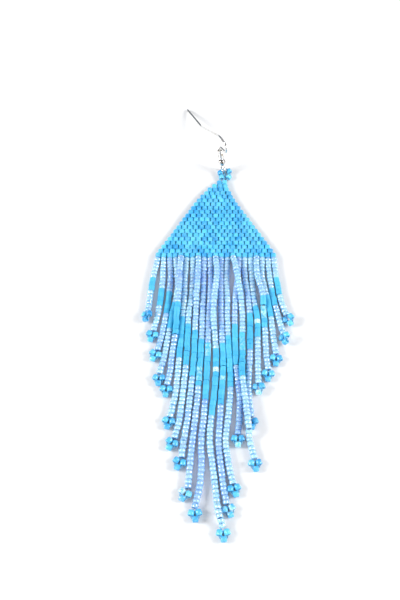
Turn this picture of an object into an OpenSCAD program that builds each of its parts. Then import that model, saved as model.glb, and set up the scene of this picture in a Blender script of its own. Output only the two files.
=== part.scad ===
// Beaded fringe earring lying flat: a triangular brick-stitch panel of cylinder beads, 21 fringe
// strands that end in three-bead picots, and a wire ear hook held by a small loop of beads.
// X runs across the panel, Y runs from the fringe's tips to the hook, and Z = 0 is the table.

/* [Seed beads] */
// Diameter of a cylinder bead
cyl_d = 1.6; // [1.5:0.05:1.7]
// Length of a cylinder bead along its hole
cyl_len = 1.3; // [1.2:0.05:1.4]
// Spacing of cylinder beads along a strand
band_pitch = 1.33; // [1.3:0.01:1.45]
// Diameter of a pale round bead, and of the strand made of them
pale_d = 1.56; // [1.4:0.02:1.6]
// Spacing of pale round beads along a strand
pale_pitch = 1.12; // [1.08:0.01:1.16]
// Radius of a drilled bead's hole
hole_r = 0.38; // [0.3:0.02:0.45]
// Bevel at the ends of a drilled bead
bevel = 0.16; // [0.1:0.02:0.2]
// Diameter of the thread
thread_d = 0.28; // [0.2:0.02:0.3]

/* [Panel] */
// Spacing of the panel's rows
row_pitch = 1.34; // [1.3:0.01:1.4]
// Rows in the panel
rows = 20;
// Thickness of the panel
panel_t = 1.55; // [1.4:0.05:1.6]
// Sideways place of the panel's lowest row
base_x = -0.2; // [-0.3:0.05:0]
// Sideways place of its top row, to which the last rows lean
apex_x = 1.85; // [1.7:0.05:2]

/* [Fringe] */
// Clear gap between the pieces of a strand
piece_gap = 0.12; // [0.1:0.01:0.15]
// Steepest rise of a strand that starts to cross its neighbour
rise = 1.7; // [1.5:0.1:1.8]

/* [Picots] */
// Angle of the two side beads from the strand's line
picot_slant = 16; // [12:1:20]
// Diameter of a picot bead
picot_d = 1.45; // [1.35:0.05:1.5]

/* [Ear hook] */
// Diameter of the hook's wire
wire_d = 0.7; // [0.6:0.05:0.75]
// Mean radius of the ring at the hook's foot
ring_r = 1; // [0.95:0.05:1.1]
// Steepness of the hook's shank above the table
shank_tilt = 68; // [66:1:70]
// Radius of the ball on the shank
ball_r = 1.05; // [0.95:0.05:1.1]
// Turns in the coil on the shank
coil_turns = 8; // [6:1:8]
// Diameter of the coil's wire
coil_wire = 0.36; // [0.3:0.02:0.36]

/* [Hidden] */
$fn = 32;

// Colours of the real piece
TURQUOISE = [0.20, 0.68, 0.88];
PALE = [0.70, 0.78, 0.95];
SILVER = [0.78, 0.78, 0.80];
THREAD = [0.85, 0.90, 0.95];

// The whole piece's middle, measured from the middle of the panel's lower edge
MID_X = 0.10;
MID_Y = -11.83;

// A strand's line is given by how far it lies sideways at stations down the table, 6 mm apart.
// The first station, at the panel's edge, is the strand's own bead in the panel's widest row.
STATION = 6;
// Column names: the picot's heading away from straight down the table, how far it has rolled
// about that heading, the beads above the band, in it and below it, and the strand's sideways
// place at each station
TURN = 0;
ROLL = 1;
BEADS = 2;
PLACE = 3;
STRANDS = [
    [-12, 40, [ 6,  3,  6], [-17.2, -18.0, -18.5, -19.2]],
    [-16,  0, [ 9,  4,  7], [-14.7, -15.0, -15.8, -17.0, -18.3]],
    [-25,  0, [10,  5, 10], [-12.6, -12.9, -13.6, -14.5, -15.9, -17.1]],
    [ -4,  0, [13,  6, 12], [-10.8, -10.9, -12.0, -12.8, -13.7, -15.1, -16.5]],
    [ -5,  0, [14,  7, 13], [-10.1, -10.3, -10.7, -11.0, -11.8, -12.4, -13.9, -15.2]],
    [-14,  0, [17,  9, 15], [-8.6, -8.7, -9.2, -9.5, -9.9, -10.3, -10.9, -12.2, -13.8]],
    [-28,  0, [19,  9, 18], [-6.6, -6.9, -7.6, -7.8, -8.0, -8.4, -9.0, -9.7, -11.1, -13.1]],
    [-22,  0, [21, 10, 20], [-5.1, -5.5, -5.7, -5.9, -6.1, -6.5, -7.1, -7.7, -8.6, -9.3, -10.2]],
    [-28,  0, [23, 10, 24],
        [-3.5, -3.7, -3.9, -4.1, -4.4, -4.8, -5.2, -5.8, -6.4, -7.0, -7.5, -8.0]],
    [  4,  0, [24, 12, 25],
        [-1.7, -1.8, -2.2, -2.4, -2.6, -2.9, -3.2, -3.7, -4.3, -4.2, -4.8, -6.2, -7.4]],
    [  4,  0, [26, 14, 26],
        [0.0, -0.6, -1.0, -0.7, -0.4, -0.6, -1.1, -1.8, -2.2, -1.5, -0.9, -0.2, 1.6, 3.4]],
    [ 18,  0, [24, 13, 23], [1.2, 1.1, 1.1, 1.2, 1.4, 1.3, 0.8, 0.4, 0.0, 0.4, 1.1, 2.2, 3.2]],
    [ 15,  0, [22, 11, 23], [2.7, 2.8, 2.7, 2.8, 3.0, 3.2, 3.0, 2.4, 1.7, 2.4, 3.5, 4.5]],
    [  6,  0, [22, 10, 20], [5.5, 6.3, 6.7, 6.5, 6.4, 6.2, 6.7, 7.2, 7.7, 9.0, 10.2]],
    [  0,  0, [19,  9, 17], [5.8, 5.0, 4.7, 4.6, 4.6, 4.9, 5.4, 5.2, 4.5, 3.6]],
    [  0,  0, [16,  8, 17], [7.7, 8.3, 8.7, 8.6, 8.4, 7.9, 7.8, 8.3, 9.3]],
    [  0, 20, [14,  7, 12], [9.5, 9.8, 10.5, 10.6, 10.4, 10.3, 10.3, 10.4]],
    [ -4,  0, [12,  7, 11], [11.0, 12.2, 12.4, 12.6, 12.6, 13.1, 13.5]],
    [ -4,  0, [11,  5, 10], [12.4, 13.4, 14.2, 14.6, 15.2, 15.9]],
    [  8, 50, [ 9,  4,  8], [14.4, 15.0, 16.1, 17.3, 18.6]],
    [ 20, 30, [ 6,  4,  6], [16.2, 16.9, 18.3, 20.2]]
];
// Strands that ride up on the ones beside them
UPPER = [4, 7, 10, 13, 17];
// Sideways distance at which two strands pass at one height, and the stride of the length tables
CLEAR = 1.68;
STEP = 0.5;
// Beads between two rings of a strand's tube, and the tube's sides
RING_BEADS = 2;
SIDES = 8;

last = len(STRANDS) - 1;
middle = last / 2;
bead_z = cyl_d / 2;
origin = [-MID_X, -MID_Y, 0];

// Sideways place of strand i at the distance d below the panel, smooth through its stations
function stations(i) = concat([base_x + (i - middle) * cyl_d], STRANDS[i][PLACE]);
function at(list, k) =
    k < 0 ? 2 * list[0] - list[1]
    : k >= len(list) ? 2 * list[len(list) - 1] - list[len(list) - 2]
    : list[k];
function cubic(a, b, c, e, f) =
    b + 0.5 * f * (c - a + f * (2 * a - 5 * b + 4 * c - e + f * (3 * (b - c) + e - a)));
function side(i, d) =
    let (list = stations(i), t = max(0, d) / STATION, k = min(floor(t), len(list) - 2))
    cubic(at(list, k - 1), at(list, k), at(list, k + 1), at(list, k + 2), t - k);

// Lengths along strand i: where its band begins, where it ends, and the strand's own end
function band_from(i) = STRANDS[i][BEADS][0] * pale_pitch;
function band_to(i) = band_from(i) + STRANDS[i][BEADS][1] * band_pitch;
function strand_len(i) = band_to(i) + STRANDS[i][BEADS][2] * pale_pitch;

// Places of a picot's beads, drawn with the strand's end at the origin and its line along +Y
side_far = cyl_len / 2 * cos(picot_slant) + (picot_d / 2 - bevel) * sin(picot_slant);
side_out = (cyl_len / 2 - bevel) * sin(picot_slant) + picot_d / 2 * cos(picot_slant);
side_mid = [side_out + piece_gap / 2, piece_gap + side_far, 0];
foot_mid = [0, 1.5 * piece_gap + 2 * side_far + picot_d / 2, 0];

// Height that strand i needs at the distance d to clear strand j and its wider picot
function is_upper(i) = len([for (u = UPPER) if (u == i) u]) > 0;
function fraction(x) = min(1, max(0, x));
// Length of a picot, and the lengths over which a strand climbs it and comes down again
PICOT_REACH = 3.4;
CLIMB = 1.6;
FADE = 2;
function need(i, j, d) =
    j < 0 || j > last || is_upper(j) ? 0
    : let (past = d - strand_len(j), wider = side_mid.x * fraction((past + 0.75 * CLIMB) / CLIMB),
        apart = max(0, abs(side(i, d) - side(j, d)) - wider))
    fraction((PICOT_REACH + FADE - past) / FADE) * sqrt(max(0, pow(CLEAR, 2) - pow(apart, 2)));
function lift(i, d) =
    is_upper(i) ? min(rise * max(0, d), max([for (k = [-2, -1, 1, 2]) need(i, i + k, d)])) : 0;
function point(i, d) = [side(i, d), -d, bead_z + lift(i, d)];

// Distance below the panel at which strand i has run the length s
function runs(i, d = 0, s = 0) =
    d > 90 ? [[s, d]]
    : concat([[s, d]], runs(i, d + STEP, s + norm(point(i, d + STEP) - point(i, d))));
function place(i, s, table) = point(i, lookup(s, table));
// Heading of strand i at the length s, read between two near places: it leaves the panel straight
NEAR = 0.3;
function heading(i, s, table) =
    s < 2 * NEAR ? [0, -1, 0] : unit(place(i, s + NEAR, table) - place(i, s - NEAR, table));

// Triangles of a tube with n rings of m points each, closed at both ends
function tube_faces(n, m) = concat(
    [[for (k = [m - 1:-1:0]) k]],
    [for (r = [0:n - 2], k = [0:m - 1]) [r * m + k, r * m + (k + 1) % m, (r + 1) * m + k]],
    [for (r = [0:n - 2], k = [0:m - 1])
        [(r + 1) * m + k, r * m + (k + 1) % m, (r + 1) * m + (k + 1) % m]],
    [[for (k = [0:m - 1]) (n - 1) * m + k]]);
// Ring of m points, of radius r, square to the direction t around the point p
function unit(v) = v / norm(v);
function ring(p, t, r, m) =
    let (u = unit(cross(t, [0, 0, 1])), w = cross(u, t))
    [for (k = [0:m - 1]) p + r * (cos(360 * (k + 0.5) / m) * u + sin(360 * (k + 0.5) / m) * w)];
function way(pts, k) = unit(pts[min(k + 1, len(pts) - 1)] - pts[max(k - 1, 0)]);

module tube(pts, ways, r, m) {
    polyhedron([for (k = [0:len(pts) - 1]) each ring(pts[k], ways[k], r, m)],
        tube_faces(len(pts), m), convexity = 6);
}
module thread(pts) {
    tube(pts, [for (k = [0:len(pts) - 1]) way(pts, k)], thread_d / 2, 6);
}

// Part of strand i between the lengths a and b, of diameter d, with rings about pitch apart
module strand_piece(i, a, b, d, pitch) {
    table = runs(i);
    count = max(1, round((b - a) / pitch));
    lengths = [for (k = [0:count]) a + (b - a) * k / count];
    tube([for (s = lengths) place(i, s, table)], [for (s = lengths) heading(i, s, table)], d / 2, SIDES);
}

// Both pale stretches of strand i
module strand(i) {
    pitch = (is_upper(i) ? 1 : RING_BEADS) * pale_pitch;
    color(PALE) translate(origin) {
        strand_piece(i, piece_gap, band_from(i), pale_d, pitch);
        strand_piece(i, band_to(i), strand_len(i) - piece_gap / 2, pale_d, pitch);
    }
}

// The stretches of cylinder beads across the strands from first to final
module band(first, final) {
    color(TURQUOISE) translate(origin) for (i = [first:final]) {
        strand_piece(i, band_from(i) + piece_gap, band_to(i) - piece_gap, pale_d,
            RING_BEADS * band_pitch);
    }
}

// Cylinder bead with bevelled ends and a hole, its axis along Z and its middle at the origin
module drilled_bead(d, length) {
    h = length / 2;
    rotate_extrude() polygon([[hole_r, -h], [d / 2 - bevel, -h], [d / 2, -h + bevel],
        [d / 2, h - bevel], [d / 2 - bevel, h], [hole_r, h]]);
}

module picot() {
    for (s = [-1, 1]) translate([s * side_mid.x, side_mid.y, 0]) rotate([-90, 0, -s * picot_slant])
        drilled_bead(picot_d, cyl_len);
    translate(foot_mid) rotate([0, 90, 0]) drilled_bead(picot_d, cyl_len);
}

// Puts a picot's drawing at the end of strand i, further out the more it is turned from the
// strand's own line, and higher the more it is rolled, so that its lower bead stays on the table
function end_point(i) = place(i, strand_len(i), runs(i));
function end_way(i) = heading(i, strand_len(i), runs(i));
roll_reach = side_mid.x + 0.06;
module at_end(i) {
    v = end_way(i);
    turned = abs(atan2(v.x, -v.y) - STRANDS[i][TURN]);
    translate(origin + end_point(i) + [0, 0, roll_reach * sin(STRANDS[i][ROLL])])
        rotate([0, 0, 180 + STRANDS[i][TURN]]) translate([0, pale_d / 2 * sin(turned), 0])
        rotate([0, STRANDS[i][ROLL], 0]) children();
}
module tip(i) {
    color(TURQUOISE) at_end(i) picot();
}

// Thread of a picot, from the strand's end through the three beads and back to the strand
half = cyl_len / 2 * [sin(picot_slant), cos(picot_slant), 0];
corner = [cyl_len / 2 + 0.25, -0.35, 0];
PICOT_RUN = [[0.25, 0.05, 0], side_mid - half, side_mid + half, foot_mid + corner,
    foot_mid + [cyl_len / 2, 0, 0]];
function mirrored(pts) = [for (k = [len(pts) - 1:-1:0]) [-pts[k].x, pts[k].y, pts[k].z]];
module tip_threads() {
    color(THREAD) for (i = [0:last]) at_end(i)
        thread(concat(PICOT_RUN, mirrored(PICOT_RUN)));
}

// Row j of the panel, counted from its widest row: its beads, its middle and its two ends. The
// rows lie nearly one over another up to row 14, and the last ones lean to the right.
ROW_MIDS = [[0, base_x], [14, 0], [17, 0.7], [rows - 1, apex_x]];
function row_beads(j) = last + 1 - j;
function row_mid(j) = lookup(j, ROW_MIDS);
function row_left(j) = row_mid(j) - row_beads(j) * cyl_d / 2;
function row_right(j) = row_mid(j) + row_beads(j) * cyl_d / 2;
module panel() {
    right_steps = [for (j = [0:rows - 1]) each [[row_right(j), j * row_pitch],
        [row_right(j), (j + 1) * row_pitch]]];
    left_steps = [for (j = [rows - 1:-1:0]) each [[row_left(j), (j + 1) * row_pitch],
        [row_left(j), j * row_pitch]]];
    color(TURQUOISE) translate(origin) linear_extrude(panel_t)
        polygon(concat(right_steps, left_steps));
}

// Loop of beads above the panel: a bead's middle and the heading of its hole
LOOP_MID = 0;
LOOP_HEAD = 1;
LOOP = [
    [[1.75, 28.4, 0.8], 95],
    [[1.35, 29.8, 1.0], 98],
    [[3.95, 30.45, 1.0], 125],
    [[3.85, 28.4, 0.8], 62]
];
module top_loop() {
    color(TURQUOISE) translate(origin) for (b = LOOP)
        translate(b[LOOP_MID]) rotate([-90, 0, b[LOOP_HEAD] - 90]) drilled_bead(cyl_d - 0.05, cyl_len);
}
// The loop's thread, from the panel's top up one side, through the hook's ring and back
LOOP_RUN = [[1.3, 26.95, 0.8], [1.6, 27.6, 0.8], [1.75, 28.4, 0.8], [1.35, 29.8, 1.0], [1.35, 30.7, 1.15],
    [1.85, 31.0, 1.25], [2.5, 30.95, 1.35], [3.0, 31.3, 1.25], [3.55, 31.0, 1.05], [3.95, 30.45, 1.0],
    [4.3, 29.95, 0.95], [4.35, 29.4, 0.9], [4.15, 28.95, 0.85], [3.85, 28.4, 0.8], [3.5, 27.75, 0.8],
    [2.9, 26.95, 0.8]];
module loop_thread() {
    color(THREAD) translate(origin) thread(LOOP_RUN);
}

// The hook stands in an upright plane: X is drawn along the plane, Y is the height and the
// ring's middle is where the plane's drawing starts.
RING_X = 2.2;
RING_Y = 31;
HOOK_HEADING = 113.7;
ring_z = ring_r + wire_d / 2;
ball_at = ring_r + wire_d / 2 + ball_r;
coil_at = ball_at + ball_r + 0.08;
module in_hook_plane() {
    translate(origin + [RING_X, RING_Y, ring_z]) rotate([90, 0, HOOK_HEADING]) children();
}
module on_shank(distance) {
    in_hook_plane() rotate([0, 0, shank_tilt]) translate([distance, 0, 0]) rotate([0, 90, 0])
        children();
}

// The wire from the ring onwards: each row is a straight length, or an arc's radius and turn,
// where a turn to the left is positive
LENGTH = 0;
RADIUS = 1;
BEND = 2;
shank_len = coil_at + coil_turns * coil_wire - ring_r + 0.15;
// Bends of the wire: back over the coil, down the tail's slope, and up again at the tail's end
kick = 17.7;
slope = 35;
back_bend = 88;
// Swelling where two stretches of the wire join
joint_swell = 0.02;
HOOK_RUN = [
    [shank_len, 0, 0],
    [0, 1.1, back_bend],
    [3.0, 0, 0],
    [0, 1.6, -shank_tilt - back_bend],
    [0, 7.5, -slope],
    [13.2, 0, 0],
    [0, 6, kick],
    [10.15, 0, 0]
];
module bent_wire(path, k = 0) {
    if (k < len(path)) {
        s = path[k];
        if (k > 0) sphere(d = wire_d + joint_swell);
        if (s[RADIUS] == 0) {
            rotate([0, 90, 0]) cylinder(d = wire_d, h = s[LENGTH]);
            translate([s[LENGTH], 0, 0]) bent_wire(path, k + 1);
        } else {
            left = s[BEND] > 0 ? 1 : -1;
            translate([0, left * s[RADIUS], 0]) rotate([0, 0, left > 0 ? -90 : 90 + s[BEND]])
                rotate_extrude(angle = abs(s[BEND])) translate([s[RADIUS], 0]) circle(d = wire_d);
            translate([0, left * s[RADIUS], 0]) rotate([0, 0, s[BEND]])
                translate([0, -left * s[RADIUS], 0]) bent_wire(path, k + 1);
        }
    }
}
module ear_hook() {
    color(SILVER) in_hook_plane() {
        rotate_extrude() translate([ring_r, 0]) circle(d = wire_d);
        rotate([0, 0, shank_tilt]) translate([ring_r, 0, 0]) bent_wire(HOOK_RUN);
    }
}

// Coil sleeve on the shank, its outside scalloped by the turns of its wire
coil_bore = wire_d / 2 + 0.06;
module hook_coil() {
    outer = [for (t = [0:coil_turns * 4])
        [coil_bore + coil_wire * (0.6 + 0.4 * abs(sin(45 * t))), t * coil_wire / 4]];
    color(SILVER) on_shank(coil_at)
        rotate_extrude() polygon(concat([[coil_bore, 0]], outer, [[coil_bore, coil_turns * coil_wire]]));
}
module hook_ball() {
    color(SILVER) on_shank(ball_at) difference() {
        sphere(r = ball_r);
        cylinder(r = wire_d / 2 + 0.08, h = 4 * ball_r, center = true);
    }
}

ear_hook();
hook_coil();
hook_ball();
top_loop();
loop_thread();
panel();
strand(0);  // strand_01
strand(1);  // strand_02
strand(2);  // strand_03
strand(3);  // strand_04
strand(4);  // strand_05
strand(5);  // strand_06
strand(6);  // strand_07
strand(7);  // strand_08
strand(8);  // strand_09
strand(9);  // strand_10
strand(10);  // strand_11
strand(11);  // strand_12
strand(12);  // strand_13
strand(13);  // strand_14
strand(14);  // strand_15
strand(15);  // strand_16
strand(16);  // strand_17
strand(17);  // strand_18
strand(18);  // strand_19
strand(19);  // strand_20
strand(20);  // strand_21
band(0, 9);  // band_left
band(10, 10);  // band_mid
band(11, 20);  // band_right
tip(0);  // tip_01
tip(1);  // tip_02
tip(2);  // tip_03
tip(3);  // tip_04
tip(4);  // tip_05
tip(5);  // tip_06
tip(6);  // tip_07
tip(7);  // tip_08
tip(8);  // tip_09
tip(9);  // tip_10
tip(10);  // tip_11
tip(11);  // tip_12
tip(12);  // tip_13
tip(13);  // tip_14
tip(14);  // tip_15
tip(15);  // tip_16
tip(16);  // tip_17
tip(17);  // tip_18
tip(18);  // tip_19
tip(19);  // tip_20
tip(20);  // tip_21
tip_threads();
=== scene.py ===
"""Beaded fringe earring lying on a pale table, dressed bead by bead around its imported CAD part.

X runs across the panel, Y from the fringe's tips to the hook, and Z = 0 is the table. Sizes are
written in millimetres, as in the part's source, and become metres where a mesh is made.
"""

import math

import bpy
import numpy as np
from mathutils import Matrix, Vector


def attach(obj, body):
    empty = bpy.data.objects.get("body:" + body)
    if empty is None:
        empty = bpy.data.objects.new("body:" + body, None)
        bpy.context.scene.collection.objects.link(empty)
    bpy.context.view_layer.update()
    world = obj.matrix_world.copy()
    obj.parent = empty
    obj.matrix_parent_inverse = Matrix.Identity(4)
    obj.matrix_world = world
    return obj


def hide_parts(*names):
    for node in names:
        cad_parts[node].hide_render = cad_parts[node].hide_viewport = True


MM = 0.001

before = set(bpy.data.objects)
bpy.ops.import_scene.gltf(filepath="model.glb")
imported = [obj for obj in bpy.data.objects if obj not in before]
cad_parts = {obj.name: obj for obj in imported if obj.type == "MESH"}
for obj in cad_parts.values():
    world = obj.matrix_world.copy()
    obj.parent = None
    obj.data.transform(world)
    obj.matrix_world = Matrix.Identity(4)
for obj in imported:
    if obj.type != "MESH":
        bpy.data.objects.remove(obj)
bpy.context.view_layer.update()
scene = bpy.context.scene
scene.view_settings.view_transform = "Standard"

# Sizes repeated from the part's source: the cylinder beads, the pitches along a strand, the thread,
# the panel and the middles of its widest and narrowest rows, the picots, the strands' plain tubes,
# and the move from the drawing's start, at the panel's lower edge, to the part's own frame
CYL_D = 1.6
CYL_LEN = 1.3
BAND_PITCH = 1.33
PALE_PITCH = 1.12
BEVEL = 0.16
THREAD_D = 0.28
ROW_PITCH = 1.34
PANEL_ROWS = 20
BASE_X = -0.2
APEX_X = 1.85
PIECE_GAP = 0.12
PICOT_SLANT = math.radians(16)
PICOT_D = 1.45
PALE_D = 1.56
ORIGIN = np.array([-0.10, 11.83, 0.0])

# A strand's picot heading and roll in degrees, its beads above, in and below the band, and its
# sideways place at stations 6 mm apart
STATION = 6.0
STRANDS = [
    (-12, 40, (6, 3, 6), [-17.2, -18.0, -18.5, -19.2]),
    (-16, 0, (9, 4, 7), [-14.7, -15.0, -15.8, -17.0, -18.3]),
    (-25, 0, (10, 5, 10), [-12.6, -12.9, -13.6, -14.5, -15.9, -17.1]),
    (-4, 0, (13, 6, 12), [-10.8, -10.9, -12.0, -12.8, -13.7, -15.1, -16.5]),
    (-5, 0, (14, 7, 13), [-10.1, -10.3, -10.7, -11.0, -11.8, -12.4, -13.9, -15.2]),
    (-14, 0, (17, 9, 15), [-8.6, -8.7, -9.2, -9.5, -9.9, -10.3, -10.9, -12.2, -13.8]),
    (-28, 0, (19, 9, 18), [-6.6, -6.9, -7.6, -7.8, -8.0, -8.4, -9.0, -9.7, -11.1, -13.1]),
    (-22, 0, (21, 10, 20), [-5.1, -5.5, -5.7, -5.9, -6.1, -6.5, -7.1, -7.7, -8.6, -9.3, -10.2]),
    (-28, 0, (23, 10, 24), [-3.5, -3.7, -3.9, -4.1, -4.4, -4.8, -5.2, -5.8, -6.4, -7.0, -7.5, -8.0]),
    (4, 0, (24, 12, 25), [-1.7, -1.8, -2.2, -2.4, -2.6, -2.9, -3.2, -3.7, -4.3, -4.2, -4.8, -6.2, -7.4]),
    (4, 0, (26, 14, 26), [0.0, -0.6, -1.0, -0.7, -0.4, -0.6, -1.1, -1.8, -2.2, -1.5, -0.9, -0.2, 1.6, 3.4]),
    (18, 0, (24, 13, 23), [1.2, 1.1, 1.1, 1.2, 1.4, 1.3, 0.8, 0.4, 0.0, 0.4, 1.1, 2.2, 3.2]),
    (15, 0, (22, 11, 23), [2.7, 2.8, 2.7, 2.8, 3.0, 3.2, 3.0, 2.4, 1.7, 2.4, 3.5, 4.5]),
    (6, 0, (22, 10, 20), [5.5, 6.3, 6.7, 6.5, 6.4, 6.2, 6.7, 7.2, 7.7, 9.0, 10.2]),
    (0, 0, (19, 9, 17), [5.8, 5.0, 4.7, 4.6, 4.6, 4.9, 5.4, 5.2, 4.5, 3.6]),
    (0, 0, (16, 8, 17), [7.7, 8.3, 8.7, 8.6, 8.4, 7.9, 7.8, 8.3, 9.3]),
    (0, 20, (14, 7, 12), [9.5, 9.8, 10.5, 10.6, 10.4, 10.3, 10.3, 10.4]),
    (-4, 0, (12, 7, 11), [11.0, 12.2, 12.4, 12.6, 12.6, 13.1, 13.5]),
    (-4, 0, (11, 5, 10), [12.4, 13.4, 14.2, 14.6, 15.2, 15.9]),
    (8, 50, (9, 4, 8), [14.4, 15.0, 16.1, 17.3, 18.6]),
    (20, 30, (6, 4, 6), [16.2, 16.9, 18.3, 20.2]),
]
# Strands that ride up on the ones beside them, and how steeply they may leave the panel
UPPER = (4, 7, 10, 13, 17)
RISE = 1.7
# Sideways distance at which two strands pass at one height
CLEAR = 1.68
# Length of a picot, and the lengths over which a strand climbs it and comes down again
PICOT_REACH = 3.4
CLIMB = 1.6
FADE = 2.0
# How far down the table a strand's line is followed, and in what steps
DEEPEST = 90
STRIDE = 0.25
# Line kept past a strand's end, and the distance between places from which a heading is read
SPARE = 2.0
NEAR = 0.3

LAST = len(STRANDS) - 1
MIDDLE = LAST // 2
BEAD_Z = CYL_D / 2

# Places of a picot's beads, drawn with the strand's end at the origin and its line along +Y
SIDE_FAR = CYL_LEN / 2 * math.cos(PICOT_SLANT) + (PICOT_D / 2 - BEVEL) * math.sin(PICOT_SLANT)
SIDE_OUT = (CYL_LEN / 2 - BEVEL) * math.sin(PICOT_SLANT) + PICOT_D / 2 * math.cos(PICOT_SLANT)
SIDE_MID = Vector((SIDE_OUT + PIECE_GAP / 2, PIECE_GAP + SIDE_FAR, 0))
FOOT_MID = Vector((0, 1.5 * PIECE_GAP + 2 * SIDE_FAR + PICOT_D / 2, 0))


def fraction(x):
    return min(1.0, max(0.0, x))


def band_from(i):
    """Length along strand i at which its band begins."""
    return STRANDS[i][2][0] * PALE_PITCH


def band_to(i):
    return band_from(i) + STRANDS[i][2][1] * BAND_PITCH


def strand_len(i):
    return band_to(i) + STRANDS[i][2][2] * PALE_PITCH


def side(i, down):
    """Sideways place of strand i at a distance below the panel, smooth through its stations."""
    places = [BASE_X + (i - MIDDLE) * CYL_D] + STRANDS[i][3]
    places = [2 * places[0] - places[1]] + places + [2 * places[-1] - places[-2]] * 2
    t = max(0.0, down) / STATION
    k = min(int(t), len(places) - 5)
    f = t - k
    a, b, c, e = places[k:k + 4]
    if k == len(places) - 5:
        e = 2 * c - b
    return b + 0.5 * f * (c - a + f * (2 * a - 5 * b + 4 * c - e + f * (3 * (b - c) + e - a)))


def need(i, j, down):
    """Height that strand i needs to clear strand j, with the wider picot at its end."""
    if j < 0 or j > LAST or j in UPPER:
        return 0.0
    past = down - strand_len(j)
    wider = SIDE_MID.x * fraction((past + 0.75 * CLIMB) / CLIMB)
    apart = max(0.0, abs(side(i, down) - side(j, down)) - wider)
    return fraction((PICOT_REACH + FADE - past) / FADE) * math.sqrt(max(0.0, CLEAR**2 - apart**2))


def lift(i, down):
    if i not in UPPER:
        return 0.0
    return min(RISE * max(0.0, down), max(need(i, i + k, down) for k in (-2, -1, 1, 2)))


def spot(i, down):
    return np.array([side(i, down), -down, BEAD_Z + lift(i, down)])


class Route:
    """The line of one strand, with the length run at each of its points."""

    def __init__(self, i):
        downs = np.arange(0, DEEPEST, STRIDE)
        self.points = np.array([spot(i, d) for d in downs])
        steps = np.linalg.norm(np.diff(self.points, axis=0), axis=1)
        self.runs = np.concatenate([[0.0], np.cumsum(steps)])
        keep = int(np.searchsorted(self.runs, strand_len(i) + SPARE))
        self.points = self.points[:keep]
        self.runs = self.runs[:keep]

    def place(self, run):
        return np.array([np.interp(run, self.runs, self.points[:, k]) for k in range(3)])

    def heading(self, run):
        way = self.place(run + NEAR) - self.place(run - NEAR)
        return way / np.linalg.norm(way)


ROUTES = [Route(i) for i in range(LAST + 1)]


def to_metres(points):
    return (np.asarray(points, dtype=float) + ORIGIN) * MM


# Camera at the photograph's angle: 59.2 degrees above the table, 0.2 m over it
CAMERA_PLACE = (-0.004665, -0.12283, 0.2040)
CAMERA_TILT = math.radians(30.8)
SENSOR_HEIGHT = 36
FOCAL_LENGTH = 52.8
view = bpy.data.cameras.new("camera")
view.sensor_fit = "VERTICAL"
view.sensor_height = SENSOR_HEIGHT
view.lens = FOCAL_LENGTH
view.clip_start = 0.01
view.clip_end = 10
camera = bpy.data.objects.new("camera", view)
camera.location = CAMERA_PLACE
camera.rotation_euler = (CAMERA_TILT, 0, 0)
scene.collection.objects.link(camera)
scene.camera = camera


class Value:
    """A node's output that can be reckoned with like a number."""

    def __init__(self, bench, socket):
        self.bench = bench
        self.socket = socket

    def __add__(self, other):
        return self.bench.maths("ADD", self, other)

    def __sub__(self, other):
        return self.bench.maths("SUBTRACT", self, other)

    def __mul__(self, other):
        return self.bench.maths("MULTIPLY", self, other)

    def __truediv__(self, other):
        return self.bench.maths("DIVIDE", self, other)

    def __radd__(self, other):
        return self.bench.maths("ADD", other, self)

    def __rsub__(self, other):
        return self.bench.maths("SUBTRACT", other, self)

    def __rmul__(self, other):
        return self.bench.maths("MULTIPLY", other, self)


class Bench:
    """A node tree, and the one way in which nodes are put into it."""

    def __init__(self, tree):
        self.tree = tree

    def node(self, kind, settings=None, inputs=None, output=0):
        """Adds a node: its settings first, then a value or a link for each named input."""
        made = self.tree.nodes.new(kind)
        for name, setting in (settings or {}).items():
            if name == "stops":
                self.set_stops(made.color_ramp, setting)
            else:
                setattr(made, name, setting)
        for name, value in (inputs or {}).items():
            socket = self.find(made.inputs, name)
            if isinstance(value, Value):
                self.tree.links.new(value.socket, socket)
            else:
                socket.default_value = value
        return Value(self, self.find(made.outputs, output))

    @staticmethod
    def find(sockets, name):
        if isinstance(name, int):
            return [s for s in sockets if s.enabled][name]
        return next(s for s in sockets if s.name == name and s.enabled)

    @staticmethod
    def set_stops(ramp, stops):
        while len(ramp.elements) < len(stops):
            ramp.elements.new(1.0)
        for element, (position, colour) in zip(ramp.elements, stops):
            element.position = position
            element.color = (*colour, 1.0)

    def maths(self, operation, *values):
        return self.node("ShaderNodeMath", {"operation": operation}, dict(enumerate(values)))

    def vector(self, x, y, z):
        return self.node("ShaderNodeCombineXYZ", None, {"X": x, "Y": y, "Z": z})

    def vector_maths(self, operation, *values):
        return self.node("ShaderNodeVectorMath", {"operation": operation}, dict(enumerate(values)))


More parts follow.
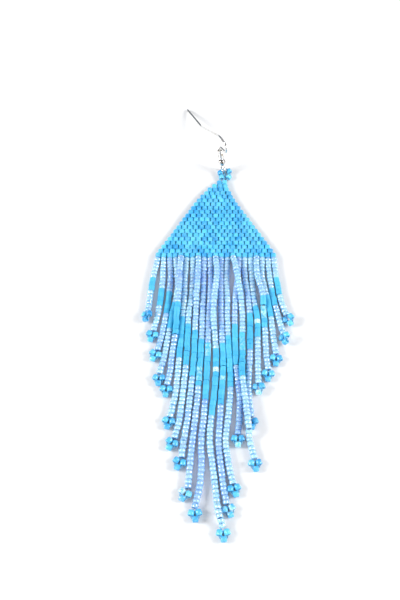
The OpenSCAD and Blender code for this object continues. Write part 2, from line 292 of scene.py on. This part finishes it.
class Layout(Bench):
    """A Geometry Nodes tree with named inputs, which ends as a plain mesh."""

    KINDS = {
        "geometry": "NodeSocketGeometry",
        "number": "NodeSocketFloat",
        "count": "NodeSocketInt",
        "vector": "NodeSocketVector",
        "object": "NodeSocketObject",
        "material": "NodeSocketMaterial",
    }

    def __init__(self, name, **inputs):
        super().__init__(bpy.data.node_groups.new(name, "GeometryNodeTree"))
        self.tree.interface.new_socket("Geometry", in_out="INPUT", socket_type=self.KINDS["geometry"])
        for label, kind in inputs.items():
            self.tree.interface.new_socket(label, in_out="INPUT", socket_type=self.KINDS[kind])
        self.tree.interface.new_socket("Geometry", in_out="OUTPUT", socket_type=self.KINDS["geometry"])
        self.start = self.tree.nodes.new("NodeGroupInput")

    def given(self, name):
        return Value(self, self.start.outputs[name])

    def attribute(self, name, kind="FLOAT"):
        return self.node("GeometryNodeInputNamedAttribute", {"data_type": kind}, {"Name": name})

    def store(self, geometry, name, value, domain="POINT", kind="FLOAT"):
        settings = {"domain": domain, "data_type": kind}
        inputs = {"Geometry": geometry, "Name": name, "Value": value}
        return self.node("GeometryNodeStoreNamedAttribute", settings, inputs)

    def chance(self, low, high, salt):
        """A random number for each bead, from the tree's seed and a salt of its own."""
        inputs = {"Min": low, "Max": high, "Seed": self.given("seed") + salt}
        return self.node("FunctionNodeRandomValue", {"data_type": "FLOAT"}, inputs)

    def set_beads(self, points, heading):
        """Puts a bead on each point, its hole along the heading, with small chance differences."""
        along = self.node("FunctionNodeAlignRotationToVector", {"axis": "Z"}, {"Vector": heading})
        spread = self.given("spread")
        tilt = self.given("tilt")
        lean = self.vector(
            self.chance(-1.0, 1.0, 1) * tilt,
            self.chance(-1.0, 1.0, 2) * tilt,
            self.chance(0.0, math.tau, 3),
        )
        lean = self.node("FunctionNodeEulerToRotation", None, {"Euler": lean})
        turned = self.node("FunctionNodeRotateRotation", {"rotation_space": "LOCAL"},
                           {"Rotation": along, "Rotate By": lean})
        across = self.given("diameter") * (1.0 + self.chance(-1.0, 0.3, 4) * spread)
        length = self.given("length") * (1.0 + self.chance(-1.0, 0.3, 5) * spread)
        shift = self.vector(*[self.chance(-1.0, 1.0, salt) * self.given("shift") for salt in (7, 8, 9)])
        points = self.node("GeometryNodeSetPosition", None, {"Geometry": points, "Offset": shift})
        bead = self.node("GeometryNodeObjectInfo", {"transform_space": "ORIGINAL"},
                         {"Object": self.given("bead")}, "Geometry")
        beads = self.node("GeometryNodeInstanceOnPoints", None, {
            "Points": points, "Instance": bead, "Rotation": turned,
            "Scale": self.vector(across, across, length)})
        beads = self.store(beads, "tone", self.chance(0.0, 1.0, 6), "INSTANCE")
        self.end(self.node("GeometryNodeRealizeInstances", None, {"Geometry": beads}))

    def end(self, geometry):
        dressed = self.node("GeometryNodeSetMaterial", None,
                            {"Geometry": geometry, "Material": self.given("finish")})
        finish = self.tree.nodes.new("NodeGroupOutput")
        self.tree.links.new(dressed.socket, finish.inputs[0])

    def grow(self, name, mesh, **values):
        """Runs the tree on a mesh and returns a plain object with the result."""
        piece = bpy.data.objects.new(name, mesh)
        scene.collection.objects.link(piece)
        build = piece.modifiers.new("build", "NODES")
        build.node_group = self.tree
        for item in self.tree.interface.items_tree:
            if item.in_out == "INPUT" and item.name in values:
                build[item.identifier] = values[item.name]
        graph = bpy.context.evaluated_depsgraph_get()
        grown = bpy.data.meshes.new_from_object(
            piece.evaluated_get(graph), preserve_all_data_layers=True, depsgraph=graph)
        piece.modifiers.remove(build)
        piece.data = grown
        grown.name = name
        return piece


def points_mesh(name, points, edges=(), **attributes):
    """A mesh of bare points, or of lines between them, that carries values for each point."""
    mesh = bpy.data.meshes.new(name)
    mesh.from_pydata([tuple(p) for p in points], list(edges), [])
    for label, (kind, values) in attributes.items():
        layer = mesh.attributes.new(label, kind, "POINT")
        field = "vector" if kind == "FLOAT_VECTOR" else "value"
        layer.data.foreach_set(field, np.asarray(values, dtype="i" if kind == "INT" else "f").ravel())
    return mesh


def lines_mesh(name, runs):
    """A mesh of polylines, one through each run of points."""
    points = []
    edges = []
    for run in runs:
        first = len(points)
        points.extend(run)
        edges.extend((n, n + 1) for n in range(first, len(points) - 1))
    return points_mesh(name, points, edges)


BEAD_SIDES = 10


def turned_bead(name, outline, crease=180):
    """A bead turned from an outline of (radius, height) around Z, with a value for its belly.

    The belly's value is 1 at the widest part and falls towards the hole. Edges sharper than the
    crease, in degrees, stay sharp.
    """
    mesh = bpy.data.meshes.new(name)
    count = len(outline)
    sides = BEAD_SIDES
    spots = [(r * math.cos(math.tau * k / sides), r * math.sin(math.tau * k / sides), h)
             for k in range(sides) for r, h in outline]
    faces = []
    for k in range(sides):
        following = (k + 1) % sides
        for p in range(count):
            q = (p + 1) % count
            faces.append((k * count + p, following * count + p, following * count + q, k * count + q))
    mesh.from_pydata(spots, [], faces)
    layer = mesh.attributes.new("belly", "FLOAT", "POINT")
    widest = max(r for r, h in outline)
    tallest = max(h for r, h in outline)
    belly = [fraction(r / widest * (1.0 - 0.6 * (abs(h) / tallest)**3)) for r, h in outline]
    layer.data.foreach_set("value", belly * sides)
    mesh.shade_smooth()
    mesh.set_sharp_from_angle(angle=math.radians(crease))
    bead = bpy.data.objects.new(name, mesh)
    scene.collection.objects.link(bead)
    return bead


# The round bead and three cylinder beads with more or less worn ends, all one unit wide and long
ROUND_OUTLINE = [(0.2, -0.47), (0.42, -0.5), (0.5, -0.2), (0.5, 0.2), (0.42, 0.5), (0.2, 0.47)]


def cylinder_outline(worn):
    half = [(0.26, 0.48), (0.5 - worn, 0.5), (0.5, 0.5 - worn)]
    return [(r, -h) for r, h in half] + half[::-1]


round_bead = turned_bead("round_bead", ROUND_OUTLINE)
band_bead = turned_bead("band_bead", cylinder_outline(0.035), crease=40)
panel_bead = turned_bead("panel_bead", cylinder_outline(0.07), crease=40)
picot_bead = turned_bead("picot_bead", cylinder_outline(BEVEL / PICOT_D))


class Finish(Bench):
    """A material built round one Principled shader."""

    def __init__(self, name):
        self.material = bpy.data.materials.new(name)
        self.material.use_nodes = True
        super().__init__(self.material.node_tree)
        self.tree.nodes.clear()
        self.shader = self.tree.nodes.new("ShaderNodeBsdfPrincipled")
        output = self.tree.nodes.new("ShaderNodeOutputMaterial")
        self.tree.links.new(self.shader.outputs[0], output.inputs[0])

    def set(self, **sockets):
        for name, value in sockets.items():
            socket = self.shader.inputs[name.replace("_", " ")]
            if isinstance(value, Value):
                self.tree.links.new(value.socket, socket)
            else:
                socket.default_value = value

    def attribute(self, name):
        return self.node("ShaderNodeAttribute", {"attribute_name": name}, None, "Fac")

    def noise(self, scale, detail=2.0):
        place = self.node("ShaderNodeTexCoord", None, None, "Object")
        inputs = {"Vector": place, "Scale": scale, "Detail": detail}
        return self.node("ShaderNodeTexNoise", None, inputs, "Fac")

    def blend(self, factor, first, second):
        inputs = {"Factor": factor, "A": first, "B": second}
        return self.node("ShaderNodeMix", {"data_type": "RGBA"}, inputs, "Result")

    def bump(self, height, strength, distance):
        inputs = {"Height": height, "Strength": strength, "Distance": distance}
        return self.node("ShaderNodeBump", None, inputs)

    def ramp(self, value, low, high):
        """The value stretched so that low becomes 0 and high becomes 1."""
        inputs = {"Value": value, "From Min": low, "From Max": high}
        return self.node("ShaderNodeMapRange", None, inputs)


# The thread's plies, and their turn in radians per metre
PLIES = 3
TWIST = 9000.0
# Colours shared by two or more materials, the painted highlight's among them, and how light spreads inside
# the turquoise glass
PAINTED_HIGHLIGHT_COLOUR = (0.72, 0.92, 0.95, 1)
SILVER = (0.80, 0.80, 0.79, 1)
TURQUOISE_SPREAD = (0.3, 0.8, 1.0)
TURQUOISE_REACH = 0.0006


def turquoise_luster():
    """The panel's and the picots' beads: pearly patches, painted shade at the bead ends, and a painted
    highlight where marked.
    """
    finish = Finish("turquoise_luster")
    tone = finish.attribute("tone")
    belly = finish.attribute("belly")
    patch = finish.ramp(finish.noise(160.0) * 0.4 + finish.noise(900.0) * 0.6, 0.38, 0.62)
    body = finish.blend(tone, (0.01, 0.28, 0.65, 1), (0.09, 0.57, 0.91, 1))
    body = finish.blend(patch * 0.5, body, (0.20, 0.68, 0.88, 1))
    # Painted shade: darker towards the hole ends, in the creases between beads
    painted_end_shade = finish.ramp(belly, 0.05, 0.45)
    colour = finish.blend(painted_end_shade, (0.01, 0.30, 0.58, 1), body)
    # Painted highlight: a pale colour blended into the base colour where a bead is marked
    painted_highlight_mask = finish.ramp(finish.attribute("glint") * finish.noise(1200.0), 0.25, 0.55)
    colour = finish.blend(painted_highlight_mask, colour, PAINTED_HIGHLIGHT_COLOUR)
    grain = finish.noise(2600.0, 3.0)
    finish.set(
        Base_Color=colour,
        Subsurface_Weight=0.3,
        Subsurface_Radius=TURQUOISE_SPREAD,
        Subsurface_Scale=TURQUOISE_REACH,
        Roughness=0.26 + 0.16 * finish.noise(900.0),
        Coat_Weight=0.8,
        Coat_Roughness=0.12,
        Normal=finish.bump(grain, 0.25, 0.00004),
    )
    return finish.material


def turquoise_satin():
    """The band's beads: satin, glossier where marked, and with a painted highlight there."""
    finish = Finish("turquoise_satin")
    tone = finish.attribute("tone")
    glint = finish.attribute("glint")
    patch = finish.ramp(finish.noise(200.0), 0.30, 0.70)
    body = finish.blend(tone * 0.5 + patch * 0.5, (0.03, 0.36, 0.66, 1), (0.09, 0.54, 0.80, 1))
    # Painted highlight: a pale colour where a bead is marked, which is also glossier there
    painted_highlight_mask = finish.ramp(glint * finish.noise(1500.0), 0.25, 0.55)
    colour = finish.blend(painted_highlight_mask, body, PAINTED_HIGHLIGHT_COLOUR)
    finish.set(
        Base_Color=colour,
        Subsurface_Weight=0.3,
        Subsurface_Radius=TURQUOISE_SPREAD,
        Subsurface_Scale=TURQUOISE_REACH,
        Roughness=0.5 - 0.2 * painted_highlight_mask,
        Coat_Weight=0.15 + 0.85 * painted_highlight_mask,
        Coat_Roughness=0.25,
        Normal=finish.bump(finish.noise(2600.0, 3.0), 0.15, 0.00004),
    )
    return finish.material


def pale_luster():
    """The pale round beads: clear glossy glass whose blue goes from strand to strand."""
    finish = Finish("pale_luster")
    tone = finish.attribute("tone")
    cast = finish.attribute("cast")
    belly = finish.attribute("belly")
    drift = finish.ramp(finish.noise(140.0) * 0.5 + cast * 0.5, 0.30, 0.70)
    body = finish.blend(drift, (0.33, 0.62, 0.90, 1), (0.22, 0.41, 0.90, 1))
    body = finish.blend(tone * (0.6 - 0.2 * drift), body, (0.48, 0.75, 0.95, 1))
    # Painted shade: darker towards the hole ends, in the creases between beads
    painted_end_shade = finish.ramp(belly, 0.20, 0.60)
    colour = finish.blend(painted_end_shade, (0.24, 0.45, 0.84, 1), body)
    finish.set(
        Base_Color=colour,
        Subsurface_Weight=0.8,
        Subsurface_Radius=(0.5, 0.8, 1.0),
        Subsurface_Scale=0.0012,
        Roughness=0.20 + 0.10 * finish.noise(1200.0),
        Specular_IOR_Level=0.5,
        Coat_Weight=1.0,
        Coat_Roughness=0.07,
        Coat_IOR=2.1,
        Normal=finish.bump(finish.noise(2200.0), 0.2, 0.00004),
    )
    return finish.material


def polished_silver(name, polish, tarnish_and_painted_reflection):
    """Silver whose roughness runs from the polish given up to 0.12 more, with darker spots: tarnish, and on
    the coil and the ball painted reflection.
    """
    finish = Finish(name)
    scratch = finish.noise(3000.0, 4.0)
    painted_reflection_and_tarnish_mask = finish.ramp(finish.noise(1100.0), 0.45, 0.62)
    finish.set(
        Base_Color=finish.blend(painted_reflection_and_tarnish_mask, SILVER, tarnish_and_painted_reflection),
        Metallic=1.0,
        Roughness=polish + 0.12 * scratch,
        Normal=finish.bump(scratch, 0.12, 0.00003),
    )
    return finish.material


def twisted_nylon():
    """Thread of three plies, which wind round it along its run."""
    finish = Finish("twisted_nylon")
    run = finish.attribute("run")
    around = finish.attribute("around")
    ply = finish.maths("SINE", run * TWIST + around * math.tau * PLIES)
    # Painted shade: the colour darkens where the ply bump is low, in the grooves between the plies
    colour = finish.blend(finish.ramp(ply, -1.0, 1.0), (0.12, 0.36, 0.56, 1), (0.20, 0.50, 0.72, 1))
    finish.set(Base_Color=colour, Roughness=0.55 + 0.1 * ply, Normal=finish.bump(ply, 0.6, 0.00003))
    return finish.material


turquoise = turquoise_luster()
satin = turquoise_satin()
pale = pale_luster()
silver = polished_silver("polished_silver", 0.06, (0.68, 0.66, 0.62, 1))
# The coil's and the ball's dark spots are painted reflection; the hook's paler ones are tarnish
wound_silver = polished_silver("wound_silver", 0.30, (0.45, 0.41, 0.35, 1))
ball_silver = polished_silver("ball_silver", 0.12, (0.16, 0.13, 0.10, 1))
nylon = twisted_nylon()

# Beads threaded on the strands: each knows its strand and its place along the strand's line
BEAD_INPUTS = dict(bead="object", diameter="number", length="number", spread="number",
                   tilt="number", shift="number", seed="count", finish="material")
strung = Layout("strung_beads", routes="object", **BEAD_INPUTS)
lines = strung.node("GeometryNodeObjectInfo", {"transform_space": "ORIGINAL"},
                    {"Object": strung.given("routes")}, "Geometry")
lines = strung.node("GeometryNodeMeshToCurve", None, {"Mesh": lines})


def on_line(run):
    inputs = {"Curves": lines, "Length": run, "Curve Index": strung.attribute("strand", "INT")}
    return strung.node("GeometryNodeSampleCurve", {"mode": "LENGTH"}, inputs, "Position")


run = strung.attribute("run")
half_bead = strung.given("length") / 2.0
hole_line = strung.vector_maths("SUBTRACT", on_line(run + half_bead), on_line(run - half_bead))
strung_points = strung.store(strung.given("Geometry"), "heading", hole_line, kind="FLOAT_VECTOR")
strung_points = strung.node("GeometryNodeSetPosition", None,
                            {"Geometry": strung_points, "Position": on_line(run)})
strung.set_beads(strung_points, strung.attribute("heading", "FLOAT_VECTOR"))

# Beads in brick stitch: from row to row one bead fewer, so that bead n lies in the row that
# solves row * widest - row * (row - 1) / 2 = n
brick = Layout("brick_stitch", widest="number", bead_pitch="number", row_pitch="number",
               middle="vector", **BEAD_INPUTS)
order = brick.node("GeometryNodeInputIndex")
twice = 2.0 * brick.given("widest") + 1.0
row = brick.maths("FLOOR", (twice - brick.maths("SQRT", twice * twice - 8.0 * order)) / 2.0)
in_row = order - (row * brick.given("widest") - row * (row - 1.0) / 2.0)
across = (in_row - (brick.given("widest") - 1.0 - row) / 2.0) * brick.given("bead_pitch")
across = across + brick.attribute("row_mid")
brick_place = brick.vector(across, (row + 0.5) * brick.given("row_pitch"), 0.0)
brick_place = brick.vector_maths("ADD", brick_place, brick.given("middle"))
brick_points = brick.node("GeometryNodeSetPosition", None,
                          {"Geometry": brick.given("Geometry"), "Position": brick_place})
brick.set_beads(brick_points, (0.0, 1.0, 0.0))

# Beads set one by one, each with the heading of its hole
placed = Layout("placed_beads", **BEAD_INPUTS)
placed.set_beads(placed.given("Geometry"), placed.attribute("heading", "FLOAT_VECTOR"))

# A thread that follows a line, with its run and its way round kept for the twist
thread = Layout("thread", diameter="number", sides="count", finish="material")
path = thread.node("GeometryNodeMeshToCurve", None, {"Mesh": thread.given("Geometry")})
path = thread.store(path, "run", thread.node("GeometryNodeSplineParameter", None, None, "Length"))
profile = thread.node("GeometryNodeCurvePrimitiveCircle", {"mode": "RADIUS"},
                      {"Resolution": thread.given("sides"), "Radius": thread.given("diameter") / 2.0})
profile = thread.store(profile, "around", thread.node("GeometryNodeSplineParameter", None, None, "Factor"))
strand_mesh = thread.node("GeometryNodeCurveToMesh", None,
                          {"Curve": path, "Profile Curve": profile, "Fill Caps": True})
thread.end(thread.node("GeometryNodeRealizeInstances", None, {"Geometry": strand_mesh}))

# The coil on the hook's shank: a wire wound on a spiral and moved to its place
coil = Layout("wound_coil", turns="number", radius="number", wire="number", turn_steps="count",
              sides="count", heading="vector", place="vector", finish="material")
wound = coil.node("GeometryNodeCurveSpiral", None, {
    "Resolution": coil.given("turn_steps"), "Rotations": coil.given("turns"),
    "Start Radius": coil.given("radius"), "End Radius": coil.given("radius"),
    "Height": coil.given("turns") * coil.given("wire")})
wire_round = coil.node("GeometryNodeCurvePrimitiveCircle", {"mode": "RADIUS"},
                 {"Resolution": coil.given("sides"), "Radius": coil.given("wire") / 2.0})
wound = coil.node("GeometryNodeCurveToMesh", None,
                    {"Curve": wound, "Profile Curve": wire_round, "Fill Caps": True})
wound = coil.node("GeometryNodeTransform", None, {
    "Geometry": wound, "Translation": coil.given("place"),
    "Rotation": coil.node("FunctionNodeAlignRotationToVector", {"axis": "Z"},
                          {"Vector": coil.given("heading")})})
coil.end(coil.node("GeometryNodeRealizeInstances", None, {"Geometry": wound}))

# The strands' lines, in the strands' order
routes = bpy.data.objects.new("routes", lines_mesh("routes", [to_metres(route.points) for route in ROUTES]))
scene.collection.objects.link(routes)

PIECES = {}


# Band beads with a painted highlight: the first and last one on a strand, and how strongly it is painted
BANDS_WITH_PAINTED_HIGHLIGHT = {8: (6, 8, 0.6), 9: (0, 2, 0.6), 10: (4, 4, 1.0), 11: (7, 7, 0.7), 13: (1, 3, 0.55),
          16: (3, 3, 1.0), 17: (2, 4, 0.7)}
# How deep a blue the pale beads of each strand are
CASTS = (0.4, 0.3, 0.7, 0.3, 0.8, 0.3, 0.4, 0.6, 0.8, 1.0, 0.3,
         1.0, 0.4, 0.3, 0.9, 0.6, 0.3, 0.5, 0.3, 0.4, 0.3)
SIDES = {"left": range(0, MIDDLE), "mid": range(MIDDLE, MIDDLE + 1), "right": range(MIDDLE + 1, LAST + 1)}
# Kinds of strung bead: shape, diameter, length, how uneven the string is, and material
ROUND = (round_bead, 1.74, PALE_PITCH, 0.06, pale)
BAND = (band_bead, 1.66, BAND_PITCH + 0.04, 0.07, satin)


def pale_marks(i):
    above, _, below = STRANDS[i][2]
    runs = [(n + 0.5) * PALE_PITCH for n in range(above)]
    runs += [band_to(i) + (n + 0.5) * PALE_PITCH for n in range(below)]
    return [(i, run, CASTS[i], 0.0) for run in runs]


def band_marks(i):
    first, final, strength = BANDS_WITH_PAINTED_HIGHLIGHT.get(i, (0, -1, 0.0))
    return [(i, band_from(i) + (n + 0.5) * BAND_PITCH, CASTS[i], strength if first <= n <= final else 0.0)
            for n in range(STRANDS[i][2][1])]


def string_beads(name, members, mark, kind, seed):
    """Strings beads of a kind. A strand's marks each give its number, a run, a cast and the strength of a
    painted highlight.
    """
    strands, lengths, casts, painted_highlight_strengths = zip(*[m for i in members for m in mark(i)])
    bead, diameter, length, unevenness, finish = kind
    mesh = points_mesh(name, [(0, 0, 0)] * len(strands), strand=("INT", strands),
                       run=("FLOAT", [run * MM for run in lengths]),
                       cast=("FLOAT", casts), glint=("FLOAT", painted_highlight_strengths))
    return strung.grow(name, mesh, routes=routes, bead=bead, diameter=diameter * MM,
                       length=length * MM, spread=0.06, tilt=unevenness, shift=unevenness * MM,
                       seed=seed, finish=finish)


for number, (part, members) in enumerate(SIDES.items()):
    fringe = string_beads("fringe_" + part, members, pale_marks, ROUND, 10 + number)
    PIECES[fringe.name] = (fringe, "pale", ["strand_%02d" % (i + 1) for i in members])
    band = string_beads("band_beads_" + part, members, band_marks, BAND, 20 + number)
    PIECES[band.name] = (band, "turquoise", ["band_" + part])

# The panel's rows lie nearly one over another up to row 14, and the last ones lean to the right
ROW_MIDS = [(0, BASE_X), (14, 0.0), (17, 0.7), (PANEL_ROWS - 1, APEX_X)]
row_mids = np.interp(range(PANEL_ROWS), *zip(*ROW_MIDS))
row_beads = [LAST + 1 - row for row in range(PANEL_ROWS)]
panel_marks = points_mesh("panel_beads", [(0, 0, 0)] * sum(row_beads),
                          row_mid=("FLOAT", np.repeat(row_mids, row_beads) * MM))
PANEL_BEAD_D = 1.58
PANEL_BEAD_LEN = ROW_PITCH + 0.06
panel = brick.grow(
    "panel_beads", panel_marks, widest=float(LAST + 1), bead_pitch=CYL_D * MM,
    row_pitch=ROW_PITCH * MM, middle=tuple(to_metres([0, 0, BEAD_Z])), bead=panel_bead,
    diameter=PANEL_BEAD_D * MM, length=PANEL_BEAD_LEN * MM, spread=0.04, tilt=0.08, shift=0.06 * MM,
    seed=30, finish=turquoise)
PIECES[panel.name] = (panel, "turquoise", ["panel"])


# What a rolled picot rises over its own half width
ROLL_SPARE = 0.06


def at_end(i):
    """Where the part's source puts the drawing of a picot, at the end of strand i."""
    turn, roll, _, _ = STRANDS[i]
    route = ROUTES[i]
    end = route.place(strand_len(i))
    way = route.heading(strand_len(i))
    turned = abs(math.degrees(math.atan2(way[0], -way[1])) - turn)
    raise_by = (SIDE_MID.x + ROLL_SPARE) * math.sin(math.radians(roll))
    place = Matrix.Translation(end + ORIGIN + np.array([0, 0, raise_by]))
    place @= Matrix.Rotation(math.radians(180 + turn), 4, "Z")
    place @= Matrix.Translation((0, PALE_D / 2 * math.sin(math.radians(turned)), 0))
    return place @ Matrix.Rotation(math.radians(roll), 4, "Y")


# Picots with a painted highlight: how strongly it is painted on the right, the left and the lowest bead
PICOTS_WITH_PAINTED_HIGHLIGHT = {8: (0.5, 0.8, 0.5), 11: (0.75, 0.6, 0.5), 13: (0.0, 0.55, 0.5), 14: (0.0, 0.0, 0.65),
              16: (0.0, 0.5, 0.7)}
SLANT = Vector((math.sin(PICOT_SLANT), math.cos(PICOT_SLANT), 0))
painted_picot_highlights = [g for i in range(LAST + 1) for g in PICOTS_WITH_PAINTED_HIGHLIGHT.get(i, (0.0, 0.0, 0.0))]
picot_places = []
picot_headings = []
for i in range(LAST + 1):
    seat = at_end(i)
    spin = seat.to_3x3()
    for s in (-1, 1):
        picot_places.append(MM * (seat @ Vector((s * SIDE_MID.x, SIDE_MID.y, 0))))
        picot_headings.append(spin @ Vector((s * SLANT.x, SLANT.y, 0)))
    picot_places.append(MM * (seat @ FOOT_MID))
    picot_headings.append(spin @ Vector((1, 0, 0)))
picots = placed.grow(
    "picot_beads", points_mesh("picot_beads", picot_places, heading=("FLOAT_VECTOR", picot_headings),
                               glint=("FLOAT", painted_picot_highlights)),
    bead=picot_bead, diameter=(PICOT_D + PIECE_GAP) * MM, length=(CYL_LEN + PIECE_GAP) * MM, spread=0.03,
    tilt=0.05, shift=0.0, seed=40, finish=turquoise)
PIECES[picots.name] = (picots, "turquoise", ["tip_%02d" % (i + 1) for i in range(LAST + 1)])

# Loop of beads above the panel: a bead's middle and the heading of its hole
LOOP = [
    ((1.75, 28.4, 0.8), 95),
    ((1.35, 29.8, 1.0), 98),
    ((3.95, 30.45, 1.0), 125),
    ((3.85, 28.4, 0.8), 62),
]
loop_places = to_metres([place for place, heading in LOOP])
loop_headings = [(math.cos(math.radians(h)), math.sin(math.radians(h)), 0) for place, h in LOOP]
LOOP_BEAD_D = CYL_D - 0.05
loop = placed.grow(
    "loop_beads", points_mesh("loop_beads", loop_places, heading=("FLOAT_VECTOR", loop_headings)),
    bead=picot_bead, diameter=LOOP_BEAD_D * MM, length=CYL_LEN * MM, spread=0.02, tilt=0.0,
    shift=0.0, seed=50, finish=turquoise)
PIECES[loop.name] = (loop, "turquoise", ["top_loop"])

# Thread of the loop, from the panel's top up one side, through the hook's ring and back
LOOP_RUN = [
    (1.3, 26.95, 0.8), (1.6, 27.6, 0.8), (1.75, 28.4, 0.8), (1.35, 29.8, 1.0), (1.35, 30.7, 1.15),
    (1.85, 31.0, 1.25), (2.5, 30.95, 1.35), (3.0, 31.3, 1.25), (3.55, 31.0, 1.05), (3.95, 30.45, 1.0),
    (4.3, 29.95, 0.95), (4.35, 29.4, 0.9), (4.15, 28.95, 0.85), (3.85, 28.4, 0.8), (3.5, 27.75, 0.8),
    (2.9, 26.95, 0.8),
]
# Its later passes, which fill the space between the beads
LOOP_PASSES = [
    [(1.9, 26.95, 0.8), (2.35, 27.7, 0.85), (2.7, 28.6, 0.9), (2.65, 29.4, 0.95), (2.45, 30.1, 0.95)],
    [(2.4, 26.95, 0.8), (2.65, 27.8, 0.65), (2.85, 28.7, 0.7), (3.0, 29.6, 0.75), (3.25, 30.1, 0.8)],
    [(2.2, 26.95, 0.8), (2.5, 27.8, 0.4), (2.55, 28.7, 0.4), (2.75, 29.6, 0.4), (2.8, 30.1, 0.5)],
]
# Thread of a picot, drawn like its beads: from the strand's end through one side bead to the foot
HALF = CYL_LEN / 2 * SLANT
PICOT_RUN = [Vector((0.25, 0.05, 0)), SIDE_MID - HALF, SIDE_MID + HALF,
             FOOT_MID + Vector((CYL_LEN / 2 + 0.25, -0.35, 0)), FOOT_MID + Vector((CYL_LEN / 2, 0, 0))]
PICOT_RUN += [Vector((-p.x, p.y, p.z)) for p in reversed(PICOT_RUN)]


def draw_threads(name, runs):
    """Lays a thread along each run of points and returns them as one piece."""
    return thread.grow(name, lines_mesh(name, runs), diameter=THREAD_D * MM, sides=8, finish=nylon)


loop_cord = draw_threads("loop_cord", [to_metres(line) for line in [LOOP_RUN] + LOOP_PASSES])
PIECES[loop_cord.name] = (loop_cord, "thread", ["loop_thread"])
picot_cords = draw_threads("picot_cords", [[MM * (at_end(i) @ p) for p in PICOT_RUN]
                                           for i in range(LAST + 1)])
PIECES[picot_cords.name] = (picot_cords, "thread", ["tip_threads"])

# Sizes repeated from the part's source: the hook's wire and its upright plane, and the coil's
# place on the shank, its gap to the wire, its turns and its own wire
COIL_GAP = 0.06
WIRE_D = 0.7
RING_MID = (2.2, 31.0, 1.35)
HOOK_HEADING = math.radians(113.7)
SHANK_TILT = math.radians(68)
COIL_AT = 3.53
COIL_TURNS = 8
COIL_WIRE = 0.36
shank = Vector((math.cos(SHANK_TILT) * math.cos(HOOK_HEADING),
                math.cos(SHANK_TILT) * math.sin(HOOK_HEADING), math.sin(SHANK_TILT)))
winding = coil.grow(
    "coil_winding", points_mesh("coil_winding", [(0, 0, 0)]), turns=float(COIL_TURNS),
    radius=(WIRE_D / 2 + COIL_GAP + COIL_WIRE / 2) * MM, wire=COIL_WIRE * MM, turn_steps=24, sides=12,
    heading=tuple(shank), place=tuple(to_metres(Vector(RING_MID) + COIL_AT * shank)), finish=wound_silver)
PIECES[winding.name] = (winding, "silver", ["hook_coil"])

for piece, slot, nodes in PIECES.values():
    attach(piece, "root")
    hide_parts(*nodes)
for helper in (routes, round_bead, band_bead, panel_bead, picot_bead):
    bpy.data.objects.remove(helper)

for name, finish in (("ear_hook", silver), ("hook_ball", ball_silver)):
    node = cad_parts[name]
    node.data.materials.clear()
    node.data.materials.append(finish)

# The table, of white paper
FLOOR_HALF = 1.0
floor_mesh = bpy.data.meshes.new("floor")
floor_mesh.from_pydata([(-FLOOR_HALF, -FLOOR_HALF, 0), (FLOOR_HALF, -FLOOR_HALF, 0),
                        (FLOOR_HALF, FLOOR_HALF, 0), (-FLOOR_HALF, FLOOR_HALF, 0)], [], [(0, 1, 2, 3)])
floor = bpy.data.objects.new("floor", floor_mesh)
scene.collection.objects.link(floor)
paper = Finish("white_paper")
mottle = paper.blend(paper.noise(30.0), (0.76, 0.76, 0.76, 1), (0.79, 0.79, 0.78, 1))
paper.set(Base_Color=mottle, Roughness=0.9)
floor_mesh.materials.append(paper.material)


def soft_box(name, place, size, power):
    """A lamp of a size in metres and a power in watts, aimed at the middle of the table."""
    lamp = bpy.data.lights.new(name, "AREA")
    lamp.shape = "RECTANGLE"
    lamp.size, lamp.size_y = size
    lamp.energy = power
    lamp_object = bpy.data.objects.new(name, lamp)
    lamp_object.location = place
    lamp_object.rotation_euler = (-Vector(place)).to_track_quat("-Z", "Y").to_euler()
    scene.collection.objects.link(lamp_object)


soft_box("left_box", (-0.52, -0.04, 0.30), (0.28, 0.20), 3.7)
soft_box("right_box", (0.52, -0.04, 0.30), (0.28, 0.20), 3.7)
soft_box("front_box", (0, -0.60, 0.30), (1.0, 0.40), 1.6)

# The room around the table: dark along the horizon, pale above it, dimmer straight overhead
ROOM_STRENGTH = 1.1
world = bpy.data.worlds.new("studio")
scene.world = world
world.use_nodes = True
room = Bench(world.node_tree)
height = room.node("ShaderNodeSeparateXYZ", None,
                   {"Vector": room.node("ShaderNodeTexCoord", None, None, "Generated")}, "Z")
ROOM_STOPS = [
    (0.0, (0.05, 0.07, 0.10)),
    (0.22, (0.08, 0.11, 0.16)),
    (0.42, (0.42, 0.42, 0.44)),
    (0.72, (0.46, 0.47, 0.50)),
    (0.95, (0.34, 0.35, 0.38)),
]
glow = room.node("ShaderNodeValToRGB", {"stops": ROOM_STOPS}, {"Fac": height})
background = world.node_tree.nodes["Background"]
world.node_tree.links.new(glow.socket, background.inputs["Color"])
background.inputs["Strength"].default_value = ROOM_STRENGTH
